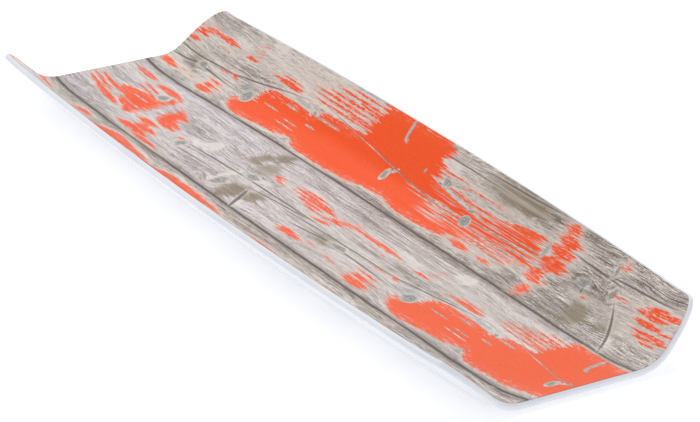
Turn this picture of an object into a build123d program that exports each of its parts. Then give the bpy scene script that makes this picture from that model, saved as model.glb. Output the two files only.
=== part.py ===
from build123d import *
from math import atan2, cos, hypot, radians, sin, sqrt, tan
import os

# Long serving tray, pressed in one piece: a flat floor between two curled-up side walls, with open, slightly
# lifted ends. Millimetres, +X along the tray, +Y across it, +Z up, with the origin under the middle of the floor.

# Driving sizes of the tray
length = 530.0
width = 175.0  # over both rims, at the middle of the length
floor_width = 90.0  # the flat floor between the bends, at the middle of the length
side_bow = 8.8  # how far each side wall comes in at the ends
wall = 4.0
ground_off = 0.2  # taken off under the floor, so that the tray stands on a true flat
bend_radius = 24.0  # inside the tray, where the floor turns up into a side wall
wall_angle = 45.0  # side wall to floor
lip_length = 30.0  # the stretch of floor that lifts at each end
lip_rise = 3.0
corner_along = 17.0  # rounded corners, measured along the rim
corner_down = 15.0  # and down past the straight part of the side wall, into its bend
rim_round = 1.5  # rounding on both edges of the rim and of the open ends

# Driving sizes of the layers on the inside face
foil_thickness = 0.2
glaze_thickness = 0.1
foil_margin = 1.6  # plain rim left round the foil, past the rounding

# Worked out from those
half_length = length / 2
turn = radians(wall_angle)
floor_top = wall - ground_off
bend_foot = floor_width / 2
rim_edge = width / 2 - wall * sin(turn) + rim_round * (sin(turn) + cos(turn) - 1)  # before rounding
straight_wall = (rim_edge - bend_foot - bend_radius * sin(turn)) / cos(turn)  # from the bend to the rim
lip_radius = (lip_length**2 + lip_rise**2) / (2 * lip_rise)
lip_start = half_length - lip_length

spans_along = 53  # evenly spaced cross sections keep the floor flat between them
quarter_handle = 0.5523  # handle length that makes a cubic curve follow a quarter circle
tool_reach = 25.0  # how far a cutting tool reaches past what it cuts
tangent_step = 0.1


def bow(x):
    return side_bow * (x / half_length) ** 2


def lift_at(x):
    into_lip = max(abs(x) - lip_start, 0.0)
    return lip_radius - sqrt(lip_radius**2 - into_lip**2)


def side_points(x, side, offset, margin=0.0):
    """Floor end, middle of the bend, bend end and rim of one face, at offset above the inside face."""
    foot = bend_foot - bow(x)
    radius = bend_radius - offset
    centre_up = floor_top + bend_radius
    bend_out = foot + bend_radius * sin(turn)
    edge = rim_edge - bow(x)
    edge_up = centre_up - bend_radius * cos(turn) + (edge - bend_out) * tan(turn)
    flat = [(foot, centre_up - radius)]
    flat += [(foot + radius * sin(a), centre_up - radius * cos(a)) for a in (turn / 2, turn)]
    edge_out = edge - margin * cos(turn) - offset * sin(turn)
    flat += [(edge_out, edge_up - margin * sin(turn) + offset * cos(turn))]
    return [Vector(x, side * y, z + lift_at(x)) for y, z in flat]


def face_line(start_side, end_side):
    """The edges of one face across the tray, from one rim to the other."""
    return [
        Edge.make_line(start_side[3], start_side[2]),
        Edge.make_three_point_arc(start_side[2], start_side[1], start_side[0]),
        Edge.make_line(start_side[0], end_side[0]),
        Edge.make_three_point_arc(end_side[0], end_side[1], end_side[2]),
        Edge.make_line(end_side[2], end_side[3]),
    ]


def section(x, low, high, margin=0.0):
    """Closed outline across the tray between two faces, at low and high above the inside face."""
    under = [side_points(x, side, low, margin) for side in (1, -1)]
    top = [side_points(x, side, high, margin) for side in (1, -1)]
    rims = [Edge.make_line(under[i][3], top[i][3]) for i in (0, 1)]
    return Wire(face_line(*top) + face_line(*under) + rims)


def corner_tool(margin):
    """Rounds the corner at +X +Y, cutting square to the side wall. margin moves the cut into the tray."""
    start_x = half_length - corner_along
    before, start = (side_points(x, 1, 0.0, margin)[3] for x in (start_x - tangent_step, start_x))
    wall_plane = Plane(origin=start, x_dir=(1, 0, 0), z_dir=(0, -sin(turn), cos(turn)))
    back = wall_plane.to_local_coords(before)
    along = corner_along - margin
    down = straight_wall + corner_down - margin
    handle = Vector(1, back.Y / back.X) * along * quarter_handle
    past = along + tool_reach
    with BuildSketch(wall_plane) as outline:
        with BuildLine():
            Bezier((0, 0), handle, (along, down * (quarter_handle - 1)), (along, -down))
            Polyline((along, -down), (past, -down), (past, tool_reach), (0, tool_reach), (0, 0))
        make_face()
    return extrude(outline.sketch, tool_reach, both=True)


def layer(low, high, margin=0.0):
    """A sheet that follows the inside face, with rounded corners."""
    stations = [length * (i / spans_along - 0.5) for i in range(spans_along + 1)]
    sheet = Solid.make_loft([section(x, low, high, margin) for x in stations])
    if margin:
        sheet = sheet & Box(length - 2 * margin, 2 * width, 2 * width)
    tool = corner_tool(margin)
    far_tool = mirror(tool, Plane.YZ)
    for each in (tool, far_tool, mirror(tool, Plane.XZ), mirror(far_tool, Plane.XZ)):
        sheet = sheet - each
    return sheet.solids()[0]


def offset_at(point):
    """How far a point stands above the inside face, square to it. Below the face it is negative."""
    out = abs(point.Y) - (bend_foot - bow(point.X))
    down = floor_top + bend_radius + lift_at(point.X) - point.Z
    if out <= 0:
        return bend_radius - down
    if atan2(out, down) < turn:
        return bend_radius - hypot(out, down)
    return bend_radius - (out * sin(turn) + down * cos(turn))


def on_outline(edge):
    """True for the edges round the outside of either face: both rims, the four corners and the open ends."""
    middle = edge @ 0.5
    through_wall = abs(offset_at(edge @ 0) - offset_at(edge @ 1)) > wall / 2
    at_rim = abs(middle.Y) > rim_edge - bow(middle.X) - rim_round
    at_end = abs(middle.X) > half_length - corner_along
    return not through_wall and (at_rim or at_end)


def moulded_body():
    body = layer(-wall, 0.0)
    body = body.fillet(rim_round, [edge for edge in body.edges() if on_outline(edge)])
    above_ground = Pos(0, 0, width / 2) * Box(2 * length, 2 * width, width)
    return (body & above_ground).solids()[0]


parts = {
    "moulded_body": moulded_body(),
    "printed_foil": layer(0.0, foil_thickness, foil_margin),
    "clear_glaze": layer(foil_thickness, foil_thickness + glaze_thickness, foil_margin),
}

os.makedirs("parts", exist_ok=True)
for name, shape in parts.items():
    export_step(shape, f"parts/{name}.step")
    print(name, shape.is_valid, round(shape.volume), shape.bounding_box())
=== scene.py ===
from math import cos, radians, sin, sqrt
from types import SimpleNamespace

import bmesh
import bpy
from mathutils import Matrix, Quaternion, Vector


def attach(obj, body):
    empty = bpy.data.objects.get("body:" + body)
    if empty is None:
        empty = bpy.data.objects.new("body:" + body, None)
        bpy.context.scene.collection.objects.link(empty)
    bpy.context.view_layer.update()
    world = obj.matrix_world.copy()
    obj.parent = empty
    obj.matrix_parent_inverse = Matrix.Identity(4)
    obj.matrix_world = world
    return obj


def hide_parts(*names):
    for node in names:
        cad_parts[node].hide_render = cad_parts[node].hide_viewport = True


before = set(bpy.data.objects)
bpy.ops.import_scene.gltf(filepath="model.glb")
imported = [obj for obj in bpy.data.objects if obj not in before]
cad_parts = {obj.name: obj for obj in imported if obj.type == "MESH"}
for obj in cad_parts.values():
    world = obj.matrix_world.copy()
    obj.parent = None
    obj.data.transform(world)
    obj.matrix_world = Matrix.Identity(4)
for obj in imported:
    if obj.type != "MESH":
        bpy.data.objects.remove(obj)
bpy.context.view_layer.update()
mm = 0.001


# camera, floor and light
view = {
    "aim": (0.0086, 0.0150, 0.0048),
    "distance": 1.9076,
    "azimuth": 58.84,  # degrees round from the -Y side
    "elevation": 23.59,
    "roll": 0.34,
    "lens": 170.32,
    "sensorWidth": 36,
    "nearClip": 0.05,
}
studio = {
    "floorSize": 12.0,
    "floorColour": (0.90, 0.90, 0.90),
    "floorRoughness": 0.9,
    "floorSpecular": 0.1,
    "floorGlow": 0.36,  # a lit table, so that hardly any shadow shows
    "worldColour": (1.0, 1.0, 1.0),
    "worldStrength": 0.64,
    "overheadPower": 36.0,
    "overheadSize": 2.6,
    "overheadPlace": (-0.9, 0.1, 2.4),
}


def addCamera():
    turn, tilt = radians(view["azimuth"]), radians(view["elevation"])
    towards = Vector((sin(turn) * cos(tilt), -cos(turn) * cos(tilt), sin(tilt)))
    bpy.ops.object.camera_add(location=Vector(view["aim"]) + view["distance"] * towards)
    camera = bpy.context.object
    camera.name = "studioCamera"
    camera.rotation_mode = "QUATERNION"
    roll = Quaternion((0, 0, 1), radians(view["roll"]))
    camera.rotation_quaternion = towards.to_track_quat("Z", "Y") @ roll
    camera.data.lens = view["lens"]
    camera.data.sensor_width = view["sensorWidth"]
    camera.data.clip_start = view["nearClip"]
    bpy.context.scene.camera = camera


def addOverhead():
    place = Vector(studio["overheadPlace"])
    bpy.ops.object.light_add(type="AREA", location=place)
    lamp = bpy.context.object
    lamp.name = "overheadPanel"
    lamp.data.shape = "DISK"
    lamp.data.size = studio["overheadSize"]
    lamp.data.energy = studio["overheadPower"]
    lamp.rotation_euler = place.to_track_quat("Z", "Y").to_euler()


def tone(red, green, blue):
    # screen colour, 0 to 255, to the shader's linear colour
    parts = [part / 255 for part in (red, green, blue)]
    return tuple(p / 12.92 if p <= 0.04045 else ((p + 0.055) / 1.055) ** 2.4 for p in parts) + (1.0,)


class Level:
    # wraps a socket, so that shader maths reads as ordinary sums
    def __init__(self, board, socket):
        self.board, self.socket = board, socket

    def __add__(self, other):
        return self.board.sum("ADD", self, other)

    def __sub__(self, other):
        return self.board.sum("SUBTRACT", self, other)

    def __mul__(self, other):
        return self.board.sum("MULTIPLY", self, other)

    def __truediv__(self, other):
        return self.board.sum("DIVIDE", self, other)

    def __rsub__(self, other):
        return self.board.sum("SUBTRACT", other, self)

    __radd__ = __add__
    __rmul__ = __mul__

    def __abs__(self):
        return self.board.sum("ABSOLUTE", self)

    def __gt__(self, other):
        return self.board.sum("GREATER_THAN", self, other)

    def __lt__(self, other):
        return self.board.sum("LESS_THAN", self, other)

    def under(self, other):
        return self.board.sum("MINIMUM", self, other)

    def over(self, other):
        return self.board.sum("MAXIMUM", self, other)

    def sway(self, reach):
        # a noise as a swing round 0, half the reach to either side
        return (self - 0.5) * reach


class Board:
    # one material's nodes
    def __init__(self, name):
        self.material = bpy.data.materials.new(name)
        self.material.use_nodes = True
        self.tree = self.material.node_tree
        self.tree.nodes.clear()

    def node(self, kind, settings=None, sockets=None, output=0):
        # sockets takes numbers, colours or Levels, and a Level is linked
        made = self.tree.nodes.new(kind)
        for name, setting in (settings or {}).items():
            if name == "stops":
                self.fillRamp(made.color_ramp, setting)
            else:
                setattr(made, name, setting)
        for name, given in (sockets or {}).items():
            if isinstance(given, Level):
                self.tree.links.new(given.socket, made.inputs[name])
            else:
                made.inputs[name].default_value = given
        return Level(self, made.outputs[output]) if made.outputs else made

    def fillRamp(self, ramp, stops):
        while len(ramp.elements) < len(stops):
            ramp.elements.new(1.0)
        for element, (place, colour) in zip(ramp.elements, stops):
            element.position = place
            element.color = colour

    def sum(self, operation, *terms):
        return self.node("ShaderNodeMath", {"operation": operation}, dict(enumerate(terms)))

    def vector(self, x, y, z=0.0):
        return self.node("ShaderNodeCombineXYZ", None, {"X": x, "Y": y, "Z": z})

    def fade(self, level, low, high):
        # 0 at low, 1 at high, smooth between; low may be the larger
        return self.node(
            "ShaderNodeMapRange",
            {"interpolation_type": "SMOOTHSTEP"},
            {"Value": level, "From Min": low, "From Max": high},
        )

    def blend(self, factor, first, second):
        # sockets 6 and 7 are the mix node's colours, and its output 2 is the mixed colour
        return self.node("ShaderNodeMix", {"data_type": "RGBA"}, {0: factor, 6: first, 7: second}, 2)

    def noise(self, place, scale, detail, roughness=0.55):
        sockets = {"Vector": place, "Scale": scale, "Detail": detail, "Roughness": roughness}
        return self.node("ShaderNodeTexNoise", None, sockets)

    def profile(self, along, curve):
        # a curve through (along, height) points, kept in a colour ramp's alpha
        start, span, low, rise = curve["start"], curve["span"], curve["low"], curve["high"] - curve["low"]
        stops = [((p - start) / span, (1, 1, 1, (height - low) / rise)) for p, height in curve["points"]]
        ramp = self.node("ShaderNodeValToRGB", {"stops": stops}, {"Fac": (along - start) / span}, 1)
        return ramp * rise + low

    def colours(self, along, points, start, span):
        stops = [((p - start) / span, tone(*colour)) for p, colour in points]
        return self.node("ShaderNodeValToRGB", {"stops": stops}, {"Fac": (along - start) / span})

    def reach(self, place, spot):
        # 1 on the ellipse round the spot, less inside it
        along, across, halfLength, halfHeight, turn = (*spot, 0.0)[:5]
        if not turn:
            squeeze = (1 / halfLength, 1 / halfHeight, 0)
            move = (-along / halfLength, -across / halfHeight, 0)
            return self.steer("LENGTH", self.steer("MULTIPLY_ADD", place, squeeze, move), output=1)
        lean, rise = cos(radians(turn)), sin(radians(turn))
        moved = self.steer("SUBTRACT", place, (along, across, 0))
        far = self.steer("DOT_PRODUCT", moved, (lean / halfLength, rise / halfLength, 0), output=1)
        aside = self.steer("DOT_PRODUCT", moved, (-rise / halfHeight, lean / halfHeight, 0), output=1)
        return self.sum("SQRT", self.sum("MULTIPLY_ADD", far, far, aside * aside))

    def steer(self, operation, *vectors, output=0):
        settings = {"operation": operation}
        return self.node("ShaderNodeVectorMath", settings, dict(enumerate(vectors)), output)

    def nearest(self, place, spots, start=None):
        # rough distance in mm to the nearest of the spots' edges, less than 0 inside
        for spot in spots:
            halfHeight = float(spot[3])
            out = self.sum("MULTIPLY_ADD", self.reach(place, spot), halfHeight, -halfHeight)
            start = out if start is None else start.under(out)
        return start

    def finish(self, shaderSockets):
        shader = self.node("ShaderNodeBsdfPrincipled", None, shaderSockets)
        self.node("ShaderNodeOutputMaterial", None, {"Surface": shader})
        return self.material


# the tray's own body
melamine = {
    "colour": (229, 231, 238),
    "cloud": (221, 224, 232),
    "cloudScale": 22.0,  # per metre
    "cloudRange": (0.35, 0.7),
    "peelScale": 900.0,
    "peelStrength": 0.02,
    "peelDepth": 0.0002,
    "roughness": 0.24,
    "roughnessSwing": 0.08,
    "specular": 0.45,
}


def makeMelamine():
    board = Board("whiteMelamine")
    place = board.node("ShaderNodeTexCoord", None, None, 3)  # the body's own coordinates
    cloud = board.noise(place, melamine["cloudScale"], 3.0)
    ripple = board.noise(place, melamine["peelScale"], 2.0)
    clouded = board.fade(cloud, *melamine["cloudRange"])
    colour = board.blend(clouded, tone(*melamine["colour"]), tone(*melamine["cloud"]))
    peel = {"Strength": melamine["peelStrength"], "Distance": melamine["peelDepth"], "Height": ripple}
    return board.finish({
        "Base Color": colour,
        "Roughness": cloud.sway(melamine["roughnessSwing"]) + melamine["roughness"],
        "Normal": board.node("ShaderNodeBump", None, peel),
        "Specular IOR Level": melamine["specular"],
    })


# the printed face: a thin sheet that follows the inside of the tray, in mm
printedFace = {
    "length": 530.0,
    "halfWidth": 96.83,  # from the middle to the rim, measured over the surface
    "margin": 1.1,  # plain rim left round the print
    "cornerAlong": 17.0,
    "cornerAcross": 49.2,
    "cornerSteps": 14,
    "floorHalf": 45.0,
    "floorTop": 3.8,
    "bendRadius": 24.0,
    "wallAngle": 45.0,
    "bendSteps": 12,
    "sideBow": 8.8,
    "lipLength": 30.0,
    "lipRise": 3.0,
    "stationStep": 5.0,
    "rowStep": 9.0,
    "thickness": 0.2,
    "mergeWithin": 0.25,
    "foldGap": 0.01,
    "smoothAngle": 35,
    "uvSpan": 530.0,
}


def bowAt(x):
    return printedFace["sideBow"] * (2 * x / printedFace["length"]) ** 2


def liftAt(x):
    run, rise = printedFace["lipLength"], printedFace["lipRise"]
    radius = (run**2 + rise**2) / (2 * rise)
    into = max(abs(x) - printedFace["length"] / 2 + run, 0.0)
    return radius - sqrt(radius**2 - into**2)


def pick(rule):
    # in edit mode, selects the points that pass the rule and nothing else
    mesh = bpy.context.edit_object.data
    form = bmesh.from_edit_mesh(mesh)
    for point in form.verts:
        point.select_set(rule(point.co))
    form.select_flush_mode()
    bmesh.update_edit_mesh(mesh)


def cutAcross(places, direction):
    for place in places:
        bpy.ops.mesh.select_all(action="SELECT")
        bpy.ops.mesh.bisect(plane_co=Vector(direction) * place * mm, plane_no=direction)


def resize(x, y, z):
    bpy.ops.transform.resize(value=(x, y, z), center_override=(0, 0, 0))


def cutOutline():
    # the corners are cut round on a stretched sheet, then squeezed to their oval
    face = printedFace
    along, across = face["cornerAlong"] - face["margin"], face["cornerAcross"] - face["margin"]
    stretch = across / along
    halfLong, halfWide = face["length"] / 2 - face["margin"], face["halfWidth"] - face["margin"]
    resize(halfLong * stretch * mm, halfWide * mm, 1)
    bpy.ops.mesh.bevel(
        offset=across * mm, segments=face["cornerSteps"], affect="VERTICES", clamp_overlap=False
    )
    bpy.ops.mesh.select_all(action="SELECT")
    resize(1 / stretch, 1, 1)
    bpy.ops.transform.translate(value=(0, 0, face["floorTop"] * mm))


def cutRows(bendStep):
    # cuts the sheet into stations along it and rows across it, and returns the rows that fold
    face = printedFace
    halfLong, halfWide = face["length"] / 2 - face["margin"], face["halfWidth"] - face["margin"]
    stationStep, rowStep, foot = face["stationStep"], face["rowStep"], face["floorHalf"]
    stations = int(halfLong // stationStep)
    cutAcross([step * stationStep for step in range(-stations, stations + 1)], (1, 0, 0))
    folds = [foot + (step + 0.5) * bendStep * face["bendRadius"] for step in range(face["bendSteps"])]
    rows = [step * rowStep for step in range(int(foot // rowStep) + 1)] + folds
    wallRows = int((halfWide - folds[-1]) // rowStep)
    rows += [folds[-1] + (step + 1) * rowStep for step in range(wallRows)]
    cutAcross(sorted({side * row for row in rows for side in (-1, 1)}), (0, 1, 0))
    bpy.ops.mesh.select_all(action="SELECT")
    bpy.ops.mesh.remove_doubles(threshold=face["mergeWithin"] * mm)  # no slivers at the corners
    return folds


def setCoordinates(sheet):
    # the print's own coordinates: along the tray, and across it over the surface
    foot, span = printedFace["floorHalf"], printedFace["uvSpan"]
    form = bmesh.from_edit_mesh(sheet.data)
    layer = form.loops.layers.uv.active
    for polygon in form.faces:
        for corner in polygon.loops:
            x, y = corner.vert.co.x / mm, corner.vert.co.y / mm
            drawnIn = bowAt(x) * min(abs(y) / foot, 1.0)
            y -= drawnIn if y > 0 else -drawnIn
            corner[layer].uv = (x / span + 0.5, y / span + 0.5)
    bmesh.update_edit_mesh(sheet.data)
    sheet.data.uv_layers.active.name = "developed"


def foldSides(folds, bendStep):
    # each side is folded up row by row, the outermost fold first
    for row in reversed(folds):
        for side in (-1, 1):
            pick(lambda co: side * co.y > (row + printedFace["foldGap"]) * mm)
            bpy.ops.transform.rotate(
                value=-side * bendStep,
                orient_axis="X",
                center_override=(0, side * row * mm, printedFace["floorTop"] * mm),
            )


def drawEnds(sheet):
    # the sides are drawn in towards the ends, and the ends lifted
    foot = printedFace["floorHalf"] * mm
    for x in sorted({round(point.co.x / mm, 2) for point in bmesh.from_edit_mesh(sheet.data).verts}):
        pick(lambda co: round(co.x / mm, 2) == x and abs(co.y) < foot)
        resize(1, 1 - bowAt(x) * mm / foot, 1)
        for side in (-1, 1):
            pick(lambda co: round(co.x / mm, 2) == x and side * co.y >= foot)
            bpy.ops.transform.translate(value=(0, -side * bowAt(x) * mm, 0))
        if liftAt(x) > 0:
            pick(lambda co: round(co.x / mm, 2) == x)
            bpy.ops.transform.translate(value=(0, 0, liftAt(x) * mm))


def thicken(sheet):
    bpy.ops.mesh.select_all(action="SELECT")
    bpy.ops.mesh.normals_make_consistent(inside=False)
    bpy.ops.object.mode_set(mode="OBJECT")
    if sum(polygon.normal.z for polygon in sheet.data.polygons) < 0:
        sheet.data.flip_normals()
    skin = sheet.modifiers.new("skin", "SOLIDIFY")
    skin.thickness = printedFace["thickness"] * mm
    skin.offset = 1
    bpy.ops.object.modifier_apply(modifier=skin.name)
    bpy.ops.object.shade_smooth_by_angle(angle=radians(printedFace["smoothAngle"]))


def makePrintedFace():
    bpy.ops.object.select_all(action="DESELECT")
    bpy.ops.mesh.primitive_plane_add(size=2, location=(0, 0, 0))
    sheet = bpy.context.object
    sheet.name = "printedFace"
    bpy.ops.object.mode_set(mode="EDIT")
    bendStep = radians(printedFace["wallAngle"]) / printedFace["bendSteps"]
    cutOutline()
    folds = cutRows(bendStep)
    setCoordinates(sheet)
    foldSides(folds, bendStep)
    drawEnds(sheet)
    thicken(sheet)
    return sheet


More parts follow.
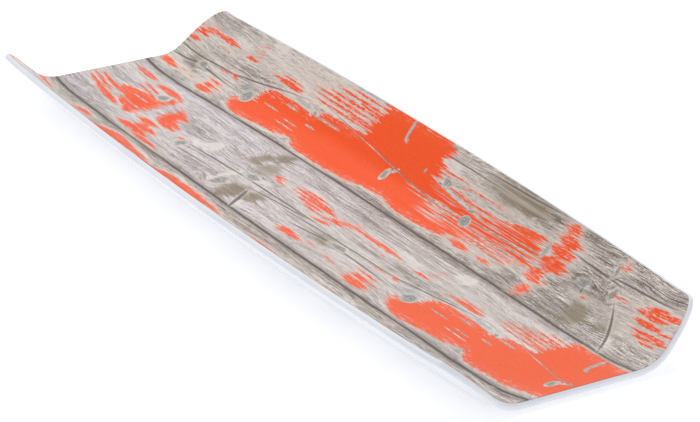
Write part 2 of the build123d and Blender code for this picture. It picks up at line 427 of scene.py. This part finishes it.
# the printed picture: three weathered planks with worn orange paint, in mm along and across the print
picture = {
    # the two joints between the planks
    "farJoint": {"start": -265, "span": 530, "low": 20, "high": 40, "points": [
        (-265, 26.5), (-220, 26), (-170, 28.5), (-100, 30.5), (-50, 31), (0, 31.5), (100, 32),
        (200, 31.5), (240, 32.5), (262, 33),
    ]},
    "nearJoint": {"start": -265, "span": 530, "low": -45, "high": -30, "points": [
        (-265, -38), (-200, -40), (-100, -40.5), (0, -41), (100, -40), (150, -39), (200, -38.5),
        (240, -36), (260, -33),
    ]},
    "jointWander": 1.6,
    "jointNibble": 0.9,
    # the middle plank repeats the far one, moved along and across
    "repeatAlong": 268.0,
    "repeatAcross": 68.0,
    "stretchGain": 32.0,
    "stretchFrom": (0, 110),
    "stretchLoss": 26.0,
    "stretchTo": (195, 222),
    "mirrorAcross": -13.0,  # the near plank repeats the far one turned over
    # wood colour along each plank; the far plank's colours also hold painted shade, as that plank lies
    # mostly on the far bend and wall
    "farWoodAndShade": [
        (-265, (186, 176, 173)), (-120, (188, 178, 174)), (50, (164, 154, 147)),
        (120, (154, 143, 136)), (200, (160, 149, 144)), (260, (176, 166, 163)),
    ],
    "middleWood": [
        (-265, (200, 190, 190)), (-100, (206, 197, 196)), (0, (203, 193, 190)),
        (60, (194, 182, 176)), (150, (192, 180, 174)), (260, (198, 188, 182)),
    ],
    "nearWood": [
        (-265, (178, 168, 163)), (-40, (184, 174, 169)), (260, (194, 184, 179)),
    ],
    "paleWood": (238, 233, 224),
    "paleMiddle": (238, 237, 242),
    "darkWood": (96, 82, 78),
    "bare": (222, 214, 206),
    "crackColour": (92, 86, 84),
    "paint": (246, 82, 12),
    "paintPale": (245, 97, 52),
    "paleFrom": (-60, 120),
    # noises: scale along and across the grain, seed, detail, roughness
    "noises": {
        "wander": (0.02, 0.01, 0.0, 4.0, 0.55),
        "comb": (0.022, 0.95, 4.0, 4.0, 0.65),
        "nibble": (0.30, 1.1, 9.0, 3.0, 0.6),
        "drift": (0.012, 0.03, 0.0, 2.0, 0.55),
        "lump": (0.14, 0.16, 2.0, 3.0, 0.55),
        "broad": (0.010, 0.16, 7.3, 3.0, 0.55),
        "fibre": (0.042, 1.05, 3.1, 4.0, 0.65),
        "fine": (0.17, 2.9, 0.0, 3.0, 0.65),
        "speck": (0.70, 1.5, 0.0, 3.0, 0.65),
        "lines": (0.016, 0.62, 5.0, 2.0, 0.55),
        "ridges": (0.020, 1.25, 5.0, 2.0, 0.55),
        "ripple": (0.08, 2.6, 0.0, 2.0, 0.55),
    },
    # how far noise moves the edges of the marks, along and across, in mm
    "sways": {
        "knots": (9, 7),
        "worked": (20, 8),
        "stains": (26, 16),
        "chips": (1.5, 0.8),
    },
    "grainDrift": 14,
    "grainParts": (3.2, 0.2),  # in knot radii: where the grain starts to part, and where it is wide apart
    "grainPartBy": 0.8,
    "streakMix": {"fibre": 1.2, "fine": 1.1, "broad": 0.6, "speck": 0.9},
    "streakPale": (-0.05, 0.27),
    "streakDark": (0.06, -0.27),
    "streakStrength": 0.92,
    "streakLess": 0.17,  # on the middle plank
    "slitMix": {"fibre": 0.6, "fine": 0.4},
    "darkLineAt": 0.50,
    "paleLineAt": 0.56,
    "crackSway": {"drift": 3, "nibble": 0.8},
    "knotSway": {"speck": 0.7, "nibble": 0.9},
    # colours laid over the wood or the paint: the levels between which each comes in, its strength,
    # its tint, and the levels of a second noise that leaves gaps in it
    "washes": {
        "slits": {"range": (0.42, 0.35), "strength": 0.60, "tint": (108, 96, 90)},
        "darkLines": {"range": (0.026, 0.006), "strength": 0.55, "tint": (100, 88, 82), "gaps": (0.3, 0.5)},
        "paleLines": {"range": (0.024, 0.006), "strength": 0.42},
        "worked": {"range": (1.2, -0.8), "strength": 0.75, "tint": (232, 228, 222), "gaps": (0.2, 0.55)},
        "stains": {"range": (2.5, -3.5), "strength": 0.9, "tint": (136, 124, 102), "gaps": (0.22, 0.5)},
        "jointShade": {"range": (5.0, 0.8), "strength": 0.42, "tint": (128, 116, 110)},
        "jointGap": {"range": (1.35, 0.45), "strength": 0.92, "tint": (84, 76, 72)},
        "crackLip": {"range": (2.2, 0.3), "strength": 0.30, "tint": (232, 226, 218)},
        "crackGap": {"range": (0.55, -0.15), "strength": 0.85, "tint": (92, 86, 84)},
        "chipFloor": {"range": (-0.5, -1.6), "strength": 0.75, "tint": (150, 156, 156), "gaps": (0.3, 0.6)},
        "knotHalo": {"range": (1.7, 1.15), "strength": 0.50, "tint": (214, 208, 198)},
        "knotBody": {"range": (1.10, 0.78), "strength": 0.55, "tint": (150, 156, 156)},
        "knotRing": {"range": (0.78, 0.62), "strength": 0.6, "tint": (92, 86, 84), "gaps": (0.45, 0.62)},
        "knotCore": {"range": (0.42, 0.22), "strength": 0.55, "tint": (98, 96, 94)},
        "paintShade": {"range": (0.50, 0.68), "strength": 0.55, "tint": (214, 78, 42)},
        "paintGleam": {"range": (0.50, 0.34), "strength": 0.40, "tint": (255, 132, 84)},
    },
    # worn paint: how far its edges are combed out, and how sharp they are
    "combedBy": 42,
    "paintSway": {"nibble": 3.0, "fine": 1.6},
    "bandSway": {"nibble": 3.4, "fine": 3.0, "comb": 5.0},
    "paintSharp": (0.22, -0.22),
    "chipSharp": (0.0, 0.3),
    "scratchComb": 0.4,
    "scratchGaps": (0.77, 0.81),
    "scratchInside": (-8.0, 0.0),
    # the stretch where the paint has worn down to the ridges of the grain
    "ridgedMiddle": 82,
    "ridgedAlong": (66, 48),
    "ridgedAcross": (44, 52),
    "ridgeGaps": (0.54, 0.58),
    # bare wood round the paint and its chips
    "haloRange": (5.0, 0.3),
    "chipHalo": (0.9, 0.0),
    "chipHaloInside": (0.5, -0.5),
    "haloStrength": 0.75,
    "haloLess": 0.3,  # on the middle plank
    "haloGaps": (0.22, 0.55),
    "chipRimInset": 0.25,
    "chipRimRange": (0.55, 0.1),
    "chipRimInside": (1.0, -1.0),
    "chipRimGaps": (0.42, 0.6),
    "chipRimStrength": 0.7,
    # gloss
    "roughness": 0.36,
    "paintSmoother": 0.03,
    "specular": 0.25,
    "reliefStrength": 0.10,
    "reliefDepth": 0.0001,
    # the large painted band runs between these two edges
    "bandBelow": {"start": -190, "span": 325, "low": 30, "high": 100, "points": [
        (-186, 60), (-182, 42), (-177, 36), (-170, 33), (-160, 32), (-150, 33), (-130, 36),
        (-112, 40), (-107, 42), (-102, 38), (-90, 34.5), (-60, 35), (-30, 37), (-12, 41),
        (0, 43), (6, 40), (15, 39), (45, 39), (57, 41), (63, 47), (75, 49), (100, 50),
        (124, 52), (130, 58), (133, 70),
    ]},
    "bandAbove": {"start": -190, "span": 325, "low": 30, "high": 100, "points": [
        (-186, 46), (-178, 47), (-171, 49), (-168, 58), (-162, 64), (-130, 65.5), (-112, 65),
        (-105, 70), (-62, 72), (-58, 98), (12, 98), (19, 73), (60, 71), (80, 71), (95, 73),
        (103, 75), (112, 76), (127, 77), (130, 68), (133, 60),
    ]},
    # every mark below: along, across, half length, half height, and turn in degrees
    "paintSpots": [
        (-256, 68, 7, 2, 15), (-258, 62.5, 5, 1.5, 10), (-249, 71, 4, 3, 15), (-230, 74, 17, 1.6),
        (-226, 74.2, 7, 2.2), (-232, 68, 1.2, 1.0), (-221, 68, 2.2, 0.8), (-244, 77, 1.4, 1.2),
        (-196, 72.5, 6, 1.3), (-194, 78, 1, 3.5), (-190, 84, 1.6, 1.3), (-152, 72.3, 17, 1.8),
        (-150, 75.5, 12, 0.6), (-255, 38, 9, 3.2), (-242, 41, 2.2, 1), (-207, 46.5, 6, 1),
        (-207, 41.5, 9, 2), (-206, 35.5, 9, 3.5), (-200, 57, 3.5, 1.4), (-213, 56, 3, 0.9),
        (-228, 39, 2.5, 1), (-94, 74.6, 32, 0.8), (-90, 78, 34, 0.9), (-92, 81, 34, 0.9),
        (-86, 84, 30, 0.9), (-84, 88, 27, 0.9), (-76, 91.5, 20, 0.7), (-70, 76.3, 14, 0.8),
        (-70, 86, 14, 0.8), (28, 79.5, 12, 0.7), (17, 77, 6, 0.6), (45, 76.5, 4, 1.2),
        (70, 77.5, 20, 0.7), (47, 72, 13, 0.9), (77, 44, 10, 3), (104, 44, 7, 1.8), (134, 65, 8, 2),
        (143, 88, 6, 4), (146, 81, 10, 3.5), (147, 74, 12, 4), (146, 65, 11, 5), (140, 55, 8, 5),
        (145, 43, 4.5, 5), (147, 36, 1.4, 4), (197, 84, 3.5, 1.8), (198, 88, 1, 1),
        (208, 68.5, 3.4, 1.3), (185, 58.5, 3.5, 0.6), (240, 72, 10, 3), (256, 72, 8, 2),
        (238, 68.5, 12, 2), (238, 63.5, 12, 1.8), (256, 62, 8, 0.9), (245, 58.5, 15, 1.2),
        (257, 56.5, 8, 0.9), (240, 56, 8, 0.9), (245, 53.5, 7, 0.7),
        # these lie past the far plank's end, and show on the middle plank only
        (-511, 85, 12, 2.2), (-478, 82.5, 15, 3), (-461.5, 73, 4, 10), (-490, 76, 11, 1.4, -8),
        (-489, 71.5, 11, 1.1, -6), (-474, 59, 17, 12), (-484, 62, 20, 6), (-468, 50, 9, 7),
        (-510, 59, 19, 1.5, -6), (-514, 55, 17, 1.3, -8), (-508, 50, 21, 1.5, -8),
        (-494, 46, 15, 1.5, -8), (-438, 62, 9, 10), (-444, 71, 3, 6), (-428, 56, 7, 5),
        (-440, 47, 12, 3), (-433, 41, 12, 3), (-438, 35, 17, 3), (-416, 31.5, 15, 1.7),
        (-407, 52.5, 2.5, 1.5), (-288, 75, 18, 1.4), (-290, 78, 14, 1.0), (-284, 72, 18, 1.3),
        (-270, 73, 12, 2.2), (-282, 69, 15, 1.2), (-276, 66, 11, 1.0), (-322, 73, 4, 2.4),
        (-318, 70, 7, 0.8), (-262, 61, 6, 0.9),
    ],
    # chips, slits and scratches that break the paint
    "bareSpots": [
        (-107, 38.5, 3.5, 3.2), (-134, 61, 5, 0.45), (-150, 54, 6, 0.4), (-124, 52, 5, 0.35),
        (-125, 48, 7, 0.35), (-108, 57, 4, 0.5), (-128, 67.5, 19, 2.4, -4), (-100, 65, 13, 0.5),
        (-29, 90, 1.4, 8, 8), (-26.5, 82.5, 2.6, 1.3, -30), (-28, 65.5, 34, 0.22, -6),
        (-22, 58, 3.0, 5), (-17, 63.3, 1.2, 3.4, -50), (5, 73, 0.9, 1.1), (44, 69.2, 28, 1.3, -6.5),
        (34, 61, 25, 0.45), (35, 58.5, 21, 0.35), (47, 54.5, 9, 0.4), (95, 57, 27, 0.5),
        (100, 54, 24, 0.5), (95, 63, 22, 0.35), (92, 51.5, 20, 0.4), (62, 60, 5, 4),
        (147, 55, 1.2, 1.2), (-175, 51, 6, 6), (-180, 56, 8, 4), (112, 60, 14, 0.3),
        (118, 66.5, 10, 0.3), (134, 71, 2, 6), (-471, 74, 6, 4.6), (-478, 62, 7, 0.5),
        (-494, 54, 12, 0.5), (-470, 53, 8, 0.4),
    ],
    # bright worn streaks in the wood
    "paleSpots": [
        (-130, 67.6, 18, 2.0, -4), (-386, 63, 6, 8), (-395, 58, 10, 3), (44, 69.2, 28, 1.2, -6.5),
        (-95, 72.5, 34, 1.4), (-212, 78, 10, 3), (-180, 90, 8, 5), (22, 83, 10, 4),
        (-345, 52, 3, 9), (-322, 62, 8, 2), (221, 49.5, 14, 2.2, -52), (-307, 38, 11, 2.4, -54),
    ],
    "knots": [
        (-175, 50.5, 5, 5.5), (-113, 65, 2.4, 2.2), (62, 60, 4.5, 4), (28, 74, 5.5, 3.0),
        (176, 66, 4.5, 2.6), (201, 69, 2.6, 3.8), (192, 80, 2.0, 4), (-233, 52, 4, 2.4),
        (-22, 58, 2.6, 4), (-471, 74, 4.6, 3.6), (-401, 48, 4.5, 4), (-332, 60, 5, 4),
        (-339, 41, 4.6, 6.4),
    ],
    "cracks": [
        (-250, 49, 11, 0.45, 11), (-222, 50.8, 19, 0.4, -2), (-232, 56.5, 33, 0.35, 4),
        (-175, 63, 27, 0.35, 9), (181, 75.4, 19, 0.45, -3), (218, 77, 24, 0.45, 2),
        (219, 48.5, 14.6, 0.7, -52), (-309.5, 37, 11, 1.1, -54), (-363, 54.5, 31, 0.5, 3),
        (-300, 57, 34, 0.45, 2), (-288, 54.5, 21, 0.4, 7), (-380, 45, 12, 0.35, 3),
        (178, 63, 0.8, 3, 10), (-26, 65.6, 34, 0.2, -6), (20, 88, 30, 0.3, -1),
        (90, 92, 26, 0.3, 1),
    ],
    "stains": [
        (190, 47, 9, 11), (184, 55, 6, 6), (215, 52, 9, 6), (-322, 40, 8, 13), (-306, 46, 8, 9),
        (-346, 90, 7, 8), (-353, 78, 6, 10), (-336, 73, 9, 9), (90, 88, 34, 8), (-240, 51, 8, 6),
    ],
}


def streaks(board, name, along, across, plank=1.0):
    # one of the picture's noises; plank moves it to another piece of wood
    scaleAlong, scaleAcross, seed, detail, roughness = picture["noises"][name]
    place = board.vector(along * scaleAlong, across * scaleAcross, plank * seed)
    return board.noise(place, 1.0, detail, roughness)


def swayed(board, lay, name, alongNoise, acrossNoise):
    along, across = picture["sways"][name]
    return board.vector(lay.along + alongNoise.sway(along), lay.across + acrossNoise.sway(across))


def wash(board, under, name, level, breaker=None, tint=None):
    # lays one of the picture's washes over a colour; the breaker's gaps let the colour through
    setting = picture["washes"][name]
    amount = board.fade(level, *setting["range"])
    if breaker:
        amount = amount * board.fade(breaker, *setting["gaps"])
    return board.blend(amount * setting["strength"], under, tint or tone(*setting["tint"]))


def layPlanks(board):
    # which plank a place lies on, and where it falls on the one plank that all three repeat
    span = printedFace["uvSpan"]
    flat = board.node("ShaderNodeUVMap", {"uv_map": "developed"})
    apart = board.node("ShaderNodeSeparateXYZ", None, {"Vector": flat})
    lay = SimpleNamespace()
    lay.u = (apart - 0.5) * span
    lay.v = (Level(board, apart.socket.node.outputs[1]) - 0.5) * span
    wander = streaks(board, "wander", lay.u, lay.v)
    lay.farJoint = board.profile(lay.u, picture["farJoint"]) + wander.sway(picture["jointWander"])
    lay.nearJoint = board.profile(lay.u, picture["nearJoint"]) + wander.sway(picture["jointWander"])
    lay.onFar, lay.onNear = lay.v > lay.farJoint, lay.v < lay.nearJoint
    lay.onMiddle = 1 - lay.onFar - lay.onNear
    shift = picture["repeatAlong"] + board.fade(lay.u, *picture["stretchFrom"]) * picture["stretchGain"]
    shift = shift - board.fade(lay.u, *picture["stretchTo"]) * picture["stretchLoss"]
    lay.along = lay.u - shift * lay.onMiddle
    turned = picture["mirrorAcross"] - 2 * lay.v
    lay.across = lay.v + lay.onMiddle * picture["repeatAcross"] + lay.onNear * turned
    return lay


def growGrain(board, lay):
    along, across = lay.along, lay.across
    lay.comb = streaks(board, "comb", along, across)
    lay.nibble = streaks(board, "nibble", along, across)
    lay.drift = streaks(board, "drift", along, across)
    lay.lump = streaks(board, "lump", along, across)

    # the grain parts round the knots
    lay.grain, lay.knotCore = across, None
    loose = swayed(board, lay, "knots", lay.lump, lay.lump)
    for knot in picture["knots"]:
        near = board.reach(loose, knot)
        lay.knotCore = lay.knotCore.under(near) if lay.knotCore else near
        parted = board.fade(near, *picture["grainParts"]) * picture["grainPartBy"]
        lay.grain = lay.grain - parted * (across - float(knot[1]))
    lay.grain = lay.grain + lay.drift.sway(picture["grainDrift"])
    lay.broad = streaks(board, "broad", along, lay.grain, lay.onMiddle)
    lay.fibre = streaks(board, "fibre", along, lay.grain, lay.onMiddle)
    lay.fine = streaks(board, "fine", along, lay.grain)
    lay.speck = streaks(board, "speck", along, across)


def drawWood(board, lay):
    start, span = -printedFace["length"] / 2, printedFace["length"]
    middle = board.colours(lay.u, picture["middleWood"], start, span)
    # the far plank's colours are its wood tone darkened by painted shade of the far wall
    wood = board.blend(lay.onFar, middle, board.colours(lay.u, picture["farWoodAndShade"], start, span))
    wood = board.blend(lay.onNear, wood, board.colours(lay.u, picture["nearWood"], start, span))

    mix = picture["streakMix"]
    streak = lay.fibre.sway(mix["fibre"]) + lay.fine.sway(mix["fine"])
    streak = streak + lay.broad.sway(mix["broad"]) + lay.speck.sway(mix["speck"])
    depth = picture["streakStrength"] - lay.onMiddle * picture["streakLess"]
    pale = board.blend(lay.onMiddle, tone(*picture["paleWood"]), tone(*picture["paleMiddle"]))
    wood = board.blend(board.fade(streak, *picture["streakPale"]) * depth, wood, pale)
    darkened = board.fade(streak, *picture["streakDark"]) * depth
    wood = board.blend(darkened, wood, tone(*picture["darkWood"]))
    slits = lay.fibre * picture["slitMix"]["fibre"] + lay.fine * picture["slitMix"]["fine"]
    wood = wash(board, wood, "slits", slits)

    # crisp growth lines, where the noise passes through one level
    lines = streaks(board, "lines", lay.along, lay.grain, lay.onMiddle)
    wood = wash(board, wood, "darkLines", abs(lines - picture["darkLineAt"]), lay.fine)
    wood = wash(board, wood, "paleLines", abs(lines - picture["paleLineAt"]), tint=pale)
    worked = board.nearest(swayed(board, lay, "worked", lay.fibre, lay.lump), picture["paleSpots"])
    wood = wash(board, wood, "worked", worked, lay.fine)
    stained = board.nearest(swayed(board, lay, "stains", lay.fibre, lay.lump), picture["stains"])
    wood = wash(board, wood, "stains", stained, lay.fine)

    joint = abs(lay.v - lay.farJoint).under(abs(lay.v - lay.nearJoint))
    joint = joint + lay.nibble.sway(picture["jointNibble"])
    return wash(board, wash(board, wood, "jointShade", joint), "jointGap", joint)


def wearPaint(board, lay):
    # the patches' ends are combed out along the grain
    along = lay.along + lay.comb.sway(picture["combedBy"])
    sway = picture["paintSway"]
    across = lay.across + lay.nibble.sway(sway["nibble"]) + lay.fine.sway(sway["fine"])
    worn = board.vector(along, across)
    low = board.profile(along, picture["bandBelow"])
    high = board.profile(along, picture["bandAbove"])
    sway = picture["bandSway"]
    wobble = lay.nibble.sway(sway["nibble"]) + lay.fine.sway(sway["fine"]) + lay.comb.sway(sway["comb"])
    band = (low - lay.across + wobble).over(lay.across - high + wobble)
    lay.paintEdge = board.nearest(worn, picture["paintSpots"], band)
    chips = swayed(board, lay, "chips", lay.nibble, lay.nibble)
    lay.chipEdge = board.nearest(chips, picture["bareSpots"])

    combed = lay.fine + lay.comb * picture["scratchComb"]
    scratch = board.fade(combed, *picture["scratchGaps"])
    scratch = scratch * board.fade(lay.paintEdge, *picture["scratchInside"])
    ridges = streaks(board, "ridges", lay.along, lay.across)
    ridged = board.fade(abs(lay.along - picture["ridgedMiddle"]), *picture["ridgedAlong"])
    ridged = ridged * board.fade(lay.across, *picture["ridgedAcross"])
    scratch = scratch.over(board.fade(ridges, *picture["ridgeGaps"]) * ridged)
    painted = board.fade(lay.paintEdge, *picture["paintSharp"])
    painted = painted * board.fade(lay.chipEdge, *picture["chipSharp"])
    return painted * (1 - scratch)


def drawMarks(board, lay, wood):
    # bare wood round the paint, then cracks, chips and knots
    crackColour = tone(*picture["crackColour"])
    chipHalo = board.fade(lay.chipEdge, *picture["chipHalo"])
    chipHalo = chipHalo * board.fade(lay.paintEdge, *picture["chipHaloInside"])
    halo = board.fade(lay.paintEdge, *picture["haloRange"]).over(chipHalo)
    halo = halo * (picture["haloStrength"] - lay.onMiddle * picture["haloLess"])
    wood = board.blend(halo * board.fade(lay.fine, *picture["haloGaps"]), wood, tone(*picture["bare"]))

    sway = picture["crackSway"]
    bent = lay.across + lay.drift.sway(sway["drift"]) + lay.nibble.sway(sway["nibble"])
    crackEdge = board.nearest(board.vector(lay.along, bent), picture["cracks"])
    wood = wash(board, wood, "crackLip", crackEdge)
    wood = wash(board, wood, "crackGap", crackEdge)

    rim = board.fade(abs(lay.chipEdge + picture["chipRimInset"]), *picture["chipRimRange"])
    rim = rim * board.fade(lay.paintEdge, *picture["chipRimInside"])
    wood = wash(board, wood, "chipFloor", lay.chipEdge, lay.speck)
    rim = rim * board.fade(lay.nibble, *picture["chipRimGaps"]) * picture["chipRimStrength"]
    wood = board.blend(rim, wood, crackColour)

    sway = picture["knotSway"]
    ringing = lay.knotCore + lay.speck.sway(sway["speck"]) + lay.nibble.sway(sway["nibble"])
    wood = wash(board, wood, "knotHalo", ringing)
    wood = wash(board, wood, "knotBody", ringing)
    wood = wash(board, wood, "knotRing", ringing, ringing)
    return wash(board, wood, "knotCore", ringing)


def drawPaint(board, lay):
    paled = lay.onMiddle * board.fade(lay.u, *picture["paleFrom"])
    paint = board.blend(paled, tone(*picture["paint"]), tone(*picture["paintPale"]))
    paint = wash(board, paint, "paintShade", lay.speck * 0.5 + lay.fibre * 0.5)
    return wash(board, paint, "paintGleam", lay.speck * 0.5 + lay.fine * 0.5)


def makePlankPrint():
    board = Board("plankPrint")
    lay = layPlanks(board)
    growGrain(board, lay)
    wood = drawWood(board, lay)
    painted = wearPaint(board, lay)
    wood = drawMarks(board, lay, wood)
    colour = board.blend(painted, wood, drawPaint(board, lay))
    # the relief has its own noise, because a bump works its whole input out three times
    ripple = streaks(board, "ripple", lay.u, lay.v)
    relief = {"Strength": picture["reliefStrength"], "Distance": picture["reliefDepth"], "Height": ripple}
    return board.finish({
        "Base Color": colour,
        "Roughness": picture["roughness"] - painted * picture["paintSmoother"],
        "Normal": board.node("ShaderNodeBump", None, relief),
        "Specular IOR Level": picture["specular"],
    })


def addFloor():
    bpy.ops.object.select_all(action="DESELECT")
    bpy.ops.mesh.primitive_plane_add(size=studio["floorSize"], location=(0, 0, 0))
    floor = bpy.context.object
    floor.name = "studioFloor"
    board = Board("paleFloor")
    floor.data.materials.append(board.finish({
        "Base Color": (*studio["floorColour"], 1),
        "Roughness": studio["floorRoughness"],
        "Specular IOR Level": studio["floorSpecular"],
        "Emission Color": (1, 1, 1, 1),
        "Emission Strength": studio["floorGlow"],
    }))
    return floor


def addWorld():
    world = bpy.data.worlds.new("paleStudio")
    bpy.context.scene.world = world
    world.use_nodes = True
    background = world.node_tree.nodes["Background"]
    background.inputs["Color"].default_value = (*studio["worldColour"], 1)
    background.inputs["Strength"].default_value = studio["worldStrength"]
    bpy.context.scene.view_settings.view_transform = "Standard"


addCamera()
addFloor()
addOverhead()
addWorld()
print("camera, floor and light set")

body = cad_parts["moulded_body"]
body.data.materials.clear()
body.data.materials.append(makeMelamine())
print("body finished in white melamine")

sheet = makePrintedFace()
print("printed face folded, faces:", len(sheet.data.polygons))
sheet.data.materials.append(makePlankPrint())
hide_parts("printed_foil", "clear_glaze")
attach(sheet, "root")
print("plank picture printed")
